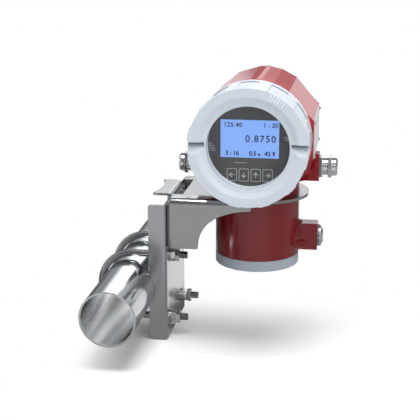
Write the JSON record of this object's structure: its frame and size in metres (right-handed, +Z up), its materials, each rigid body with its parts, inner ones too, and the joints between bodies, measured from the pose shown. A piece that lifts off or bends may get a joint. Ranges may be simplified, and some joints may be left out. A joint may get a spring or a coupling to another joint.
{
  "type": "coriolis flow meter transmitter",
  "caption": "Remote flow meter transmitter with a round display head over a terminal box, held by a sheet metal bracket and U-bolts on a pipe.",
  "frame": {"origin": "on the pipe's axis, midway between the two U-bolts and midway along the pipe", "axes": "+X from the pipe to the transmitter, +Y along the pipe away from the display, +Z up"},
  "size_m": [0.2631, 0.302, 0.2927],
  "materials": {
    "pipe_steel": "dull zinc",
    "channel_steel": "satin zinc",
    "bracket_steel": "satin",
    "bolt_steel": "bright",
    "head_paint": "semi-gloss powder coat",
    "box_paint": "semi-gloss powder coat",
    "cover_paint": "semi-gloss powder coat",
    "cap_paint": "semi-gloss powder coat",
    "rear_paint": "semi-gloss powder coat",
    "window": "clear",
    "overlay_film": "matt film",
    "lcd_glass": "smooth",
    "frame_plastic": "matt",
    "board": "satin",
    "module": "matt",
    "brass_post": "bright",
    "terminal_plastic": "matt",
    "seal_rubber": "matt",
    "plate": "satin",
    "gland_metal": "nickel plated",
    "plug_metal": "nickel plated"
  },
  "bodies": {
    "transmitter": {"mounting_pipe": "pipe_steel", "saddle_channel": "channel_steel", "u_bolt_front": "bolt_steel", "u_bolt_rear": "bolt_steel", "u_bolt_washers": "bolt_steel", "u_bolt_nuts": "bolt_steel", "u_bolt_lock_nuts": "bolt_steel", "transmitter_bracket": "bracket_steel", "bracket_screws": "bolt_steel", "bracket_nuts": "bolt_steel", "neck_screws": "bolt_steel", "terminal_box": "box_paint", "box_block_posts": "brass_post", "box_terminal_block": "terminal_plastic", "box_terminal_screws": "bolt_steel", "plug_washer": "seal_rubber", "blind_plug": "plug_metal", "head_housing": "head_paint", "main_board_posts": "brass_post", "display_posts": "brass_post", "main_board": "board", "display_board": "board", "power_module": "module", "lcd_module": "lcd_glass", "display_frame": "frame_plastic", "keypad_overlay": "overlay_film", "rear_terminal_block": "terminal_plastic", "rear_terminal_screws": "bolt_steel", "nameplate": "plate", "nameplate_rivets": "bolt_steel", "gland_body_right": "gland_metal", "gland_body_left": "gland_metal"},
    "front_seal": {"front_cover_seal": "seal_rubber"},
    "front_lid": {"front_cover": "cover_paint", "glass_gasket": "seal_rubber", "window_glass": "window", "glass_retaining_ring": "cover_paint"},
    "rear_seal": {"rear_cover_seal": "seal_rubber"},
    "rear_lid": {"rear_cover": "rear_paint"},
    "cap_seal": {"terminal_cap_seal": "seal_rubber"},
    "box_lid": {"terminal_box_cap": "cap_paint"},
    "right_insert": {"gland_insert_right": "seal_rubber"},
    "right_nut": {"gland_nut_right": "gland_metal"},
    "left_insert": {"gland_insert_left": "seal_rubber"},
    "left_nut": {"gland_nut_left": "gland_metal"}
  },
  "joints": [
    {"name": "front_cover_travel", "type": "slide", "parent": "transmitter", "child": "front_seal", "axis": [0, -1, 0], "range_m": [0, 0.01]},
    {"name": "front_cover_turn", "type": "hinge", "parent": "front_seal", "child": "front_lid", "pos_m": [0.1372, -0.06, 0.1731], "axis": [0, -1, 0], "range_deg": [0, 1800]},
    {"name": "rear_cover_travel", "type": "slide", "parent": "transmitter", "child": "rear_seal", "axis": [0, 1, 0], "range_m": [0, 0.01]},
    {"name": "rear_cover_turn", "type": "hinge", "parent": "rear_seal", "child": "rear_lid", "pos_m": [0.1372, 0.07, 0.1731], "axis": [0, 1, 0], "range_deg": [0, 1800]},
    {"name": "box_cap_travel", "type": "slide", "parent": "transmitter", "child": "cap_seal", "axis": [0, 0, -1], "range_m": [0, 0.005]},
    {"name": "box_cap_turn", "type": "hinge", "parent": "cap_seal", "child": "box_lid", "pos_m": [0.1372, 0, 0.03], "axis": [0, 0, -1], "range_deg": [0, 1200]},
    {"name": "gland_right_travel", "type": "slide", "parent": "transmitter", "child": "right_insert", "axis": [1, 0, 0], "range_m": [0, 0.0045]},
    {"name": "gland_right_turn", "type": "hinge", "parent": "right_insert", "child": "right_nut", "pos_m": [0.215, 0, 0.1342], "axis": [1, 0, 0], "range_deg": [0, 1080]},
    {"name": "gland_left_travel", "type": "slide", "parent": "transmitter", "child": "left_insert", "axis": [-1, 0, 0], "range_m": [0, 0.0045]},
    {"name": "gland_left_turn", "type": "hinge", "parent": "left_insert", "child": "left_nut", "pos_m": [0.06, 0, 0.1342], "axis": [-1, 0, 0], "range_deg": [0, 1080]}
  ],
  "couplings": [
    {"joint": "front_cover_turn", "follows": "front_cover_travel", "rad_per_m": 3141.6},
    {"joint": "rear_cover_turn", "follows": "rear_cover_travel", "rad_per_m": 3141.6},
    {"joint": "box_cap_turn", "follows": "box_cap_travel", "rad_per_m": 4188.8},
    {"joint": "gland_right_turn", "follows": "gland_right_travel", "rad_per_m": 4188.8},
    {"joint": "gland_left_turn", "follows": "gland_left_travel", "rad_per_m": 4188.8}
  ]
}
